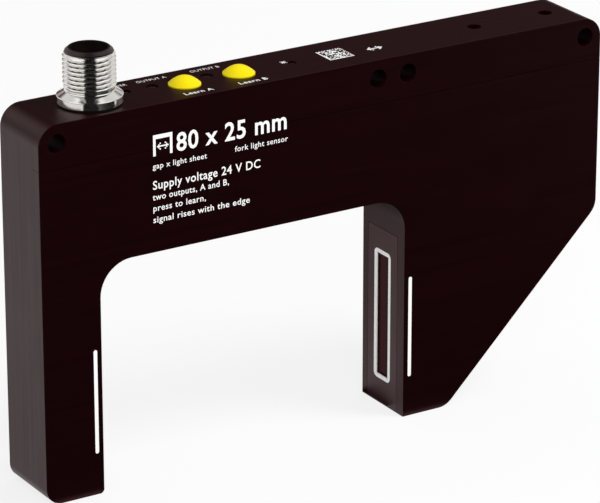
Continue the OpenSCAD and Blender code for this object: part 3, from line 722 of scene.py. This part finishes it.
# %% [markdown]
# ## Button caps
#
# A cap is moulded in soft rubber: a thin skirt lies on the housing and swells into a low rounded
# dome, so from the side it looks like a hat with a wide brim. Half a ball would have no brim, so the
# caps are turned on the lathe as well. Each one rides on its own button, which goes down when it is
# pressed.

# %% Caps
stem_r, skirt_depth, skirt_round, brim_height = 1.8, 2.0, 0.15, 0.12
dome_rings, dome_power, brim_share = 24, 2.6, 0.25


def cap_outline(low, high):
    skirt = (high[0] - low[0]) / 2 / mm
    brim = top_z + brim_height
    dome = high[2] / mm - brim
    stem_z = low[2] / mm
    foot = top_z - skirt_depth
    outline = [(0.0, stem_z), (stem_r, stem_z), (stem_r, foot)]
    outline += [(skirt - skirt_round, foot), (skirt, foot + skirt_round)]
    for ring in range(dome_rings, -1, -1):
        share = ring / dome_rings
        swell = 0.5 + 0.5 * math.cos(math.pi * share)
        arch = 1 - share ** dome_power
        outline.append((skirt * share, brim + dome * (brim_share * swell + (1 - brim_share) * arch)))
    return outline


for letter in "ab":
    low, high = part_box(f"button_cap_{letter}")
    centre = ((low[0] + high[0]) / 2, (low[1] + high[1]) / 2)
    cap = spun(f"button_cap_{letter}_rubber", cap_outline(low, high), centre, 72)
    soften(cap, 45)
    settle(cap, f"button_{letter}", "button_yellow", f"button_cap_{letter}")

# %% [markdown]
# ## Printed words
#
# The marks on the housing are white ink, a few hundredths of a millimetre thick. A picture laid on
# the face would blur from close by, so words are text objects with a little depth, turned into a
# mesh and laid on the face. They are plain ones for what each lamp and button does.

# %% Word tools
ink = 0.02
capital_share = 0.70
letter_spacing = 1.08
facing_up = (0, 0, 0)
facing_front = (math.pi / 2, 0, 0)


def lay(piece, place, turned):
    """Turn a flat piece, move it to its place in millimetres, and keep that in its mesh."""
    piece.rotation_euler = turned
    piece.location = [value * mm for value in place]
    bpy.ops.object.transform_apply(location=True, rotation=True, scale=True)


def words(text, height, width, place, turned, weight):
    """A line of words: the height of its capitals, its width, its start and how bold it is."""
    bpy.ops.object.select_all(action="DESELECT")
    bpy.ops.object.text_add(location=(0, 0, 0))
    piece = bpy.context.object
    piece.data.body = text
    piece.data.size = height / capital_share * mm
    piece.data.extrude = ink / 2 * mm
    piece.data.offset = weight * mm
    piece.data.space_character = letter_spacing
    piece.data.resolution_u = 3
    bpy.ops.object.convert(target="MESH")
    piece.scale = (width * mm / piece.dimensions[0], 1, 1)
    lay(piece, place, turned)
    return piece


def join(name, pieces):
    take(pieces[0])
    for piece in pieces:
        piece.select_set(True)
    bpy.ops.object.join()
    joined = bpy.context.object
    joined.name = name
    edit_all(joined)
    bpy.ops.mesh.remove_doubles(threshold=0.0001 * mm)
    bpy.ops.object.mode_set(mode="OBJECT")
    return joined


print("word tools ready")

# %% Words on the top
face_z = top_z + ink / 2
top_words = [
    words("POWER", 1.2, 4.8, (-49.1, 5.7, face_z), facing_up, -0.02),
    words("OUTPUT A", 1.2, 7.4, (-41.6, 5.65, face_z), facing_up, -0.02),
    words("OUTPUT B", 1.2, 7.4, (-27.8, 5.7, face_z), facing_up, -0.02),
    words("Learn A", 1.45, 7.2, (-36.6, -7.0, face_z), facing_up, 0.02),
    words("Learn B", 1.45, 7.2, (-22.65, -7.1, face_z), facing_up, 0.02),
]
top_print = join("top_words", top_words)
settle(top_print, "sensor", "mark_white")

# %% [markdown]
# ## Signs made of squares
#
# Small signs are drawn on a grid, as in cross-stitch. They could be curves, but squares are quick to
# draw as rows of text: a grid is added, the faces that aren't wanted are deleted, and the rest gets a
# little depth. A hair's breadth comes off the outline, so that squares that meet at a corner stay
# apart.

# %% Square tools
def drawn_in(rows):
    return lambda column, row: rows[row][column] == "#"


def ink_squares(name, cells, size, place, turned, filled):
    bpy.ops.object.select_all(action="DESELECT")
    bpy.ops.mesh.primitive_grid_add(x_subdivisions=cells, y_subdivisions=cells, size=size * mm,
                                    location=(0, 0, 0))
    piece = bpy.context.object
    piece.name = name
    edit_all(piece)
    bpy.ops.mesh.select_mode(type="FACE")
    bpy.ops.mesh.select_all(action="DESELECT")
    mesh = bmesh.from_edit_mesh(piece.data)
    for face in mesh.faces:
        middle = face.calc_center_median() / mm
        column = int((middle[0] / size + 0.5) * cells)
        row = int((0.5 - middle[1] / size) * cells)
        face.select_set(not filled(column, row))
    bmesh.update_edit_mesh(piece.data)
    bpy.ops.mesh.delete(type="FACE")
    bpy.ops.mesh.select_all(action="SELECT")
    bpy.ops.mesh.inset(thickness=0.01 * mm)
    bpy.ops.mesh.select_all(action="INVERT")
    bpy.ops.mesh.delete(type="FACE")
    bpy.ops.object.mode_set(mode="OBJECT")
    bpy.ops.object.modifier_add(type="SOLIDIFY")
    piece.modifiers[-1].thickness = ink * mm
    piece.modifiers[-1].offset = 0
    bpy.ops.object.modifier_apply(modifier=piece.modifiers[-1].name)
    lay(piece, place, turned)
    return piece


print("square tools ready")

# %% [markdown]
# ## A square code, an arrow and a small sun
#
# Next to the row of lamps is a square code of the kind that is read by a scanner. Its squares follow
# a sum, so it looks right and says nothing: two full edges, two broken edges, and a scatter inside.
# The arrow with two heads says that the gap is measured across. The little sun stands beside the lamp
# that shows the light sheet.

# %% Square code
code_cells = 18


def code_square(column, row):
    last = code_cells - 1
    if column == 0 or row == last:
        return True
    if row == 0:
        return column % 2 == 0
    if column == last:
        return row % 2 == 1
    return (column * column * 7 + row * row * 11 + column * row * 5 + 3 * column) % 13 < 6


code = ink_squares("square_code", code_cells, 6.5, (6.55, -0.1, face_z), facing_up, code_square)
settle(code, "sensor", "mark_white")

# %% Arrow and sun
blank = "........."
arrow_rows = (blank, blank, "..#...#..", ".#.....#.", "#########", ".#.....#.", "..#...#..", blank, blank)
arrow = ink_squares("gap_arrow", 9, 4.0, (16.4, -1.3, face_z), facing_up, drawn_in(arrow_rows))
settle(arrow, "sensor", "mark_white")

sun_rows = ("#..#..#", ".#.#.#.", "..###..", "#######", "..###..", ".#.#.#.", "#..#..#")
sun = ink_squares("beam_sun", 7, 1.4, (-6.5, 1.05, face_z), facing_up, drawn_in(sun_rows))
settle(sun, "sensor", "mark_white")

# %% [markdown]
# ## Print on the front
#
# The front carries a sign of a fork with an arrow in its gap, and beside and under it what the sensor
# measures and needs. The large line gives the width of the gap and the height of the light sheet. The
# same two tools make all of it, turned to face the front.

# %% Fork sign
face_y = front_y - ink / 2
bridge, gap = "###############", "##...........##"
fork_rows = (bridge, bridge, bridge, gap, gap, gap,
             "##...#...#...##",
             "##..#.....#..##",
             "##.#########.##",
             "##..#.....#..##",
             "##...#...#...##",
             gap, gap, gap, gap)
sign = ink_squares("fork_sign", 15, 4.9, (-43.6, face_y, 80.0), facing_front, drawn_in(fork_rows))
settle(sign, "sensor", "mark_white")

# %% Words on the front
front_words = [
    words("80 x 25 mm", 4.2, 28.4, (-40.2, face_y, 77.7), facing_front, 0.11),
    words("gap x light sheet", 1.3, 13.8, (-46.2, face_y, 74.6), facing_front, 0.01),
    words("fork light sensor", 1.3, 13.8, (-25.2, face_y, 74.7), facing_front, 0.01),
    words("Supply voltage 24 V DC", 2.0, 27.6, (-46.3, face_y, 69.8), facing_front, 0.03),
    words("two outputs, A and B,", 1.45, 19.5, (-46.3, face_y, 67.3), facing_front, 0.02),
    words("press to learn,", 1.45, 13.4, (-46.3, face_y, 64.7), facing_front, 0.02),
    words("signal rises with the edge", 1.45, 24.8, (-46.3, face_y, 62.0), facing_front, 0.02),
]
front_print = join("front_words", front_words)
settle(front_print, "sensor", "mark_white")
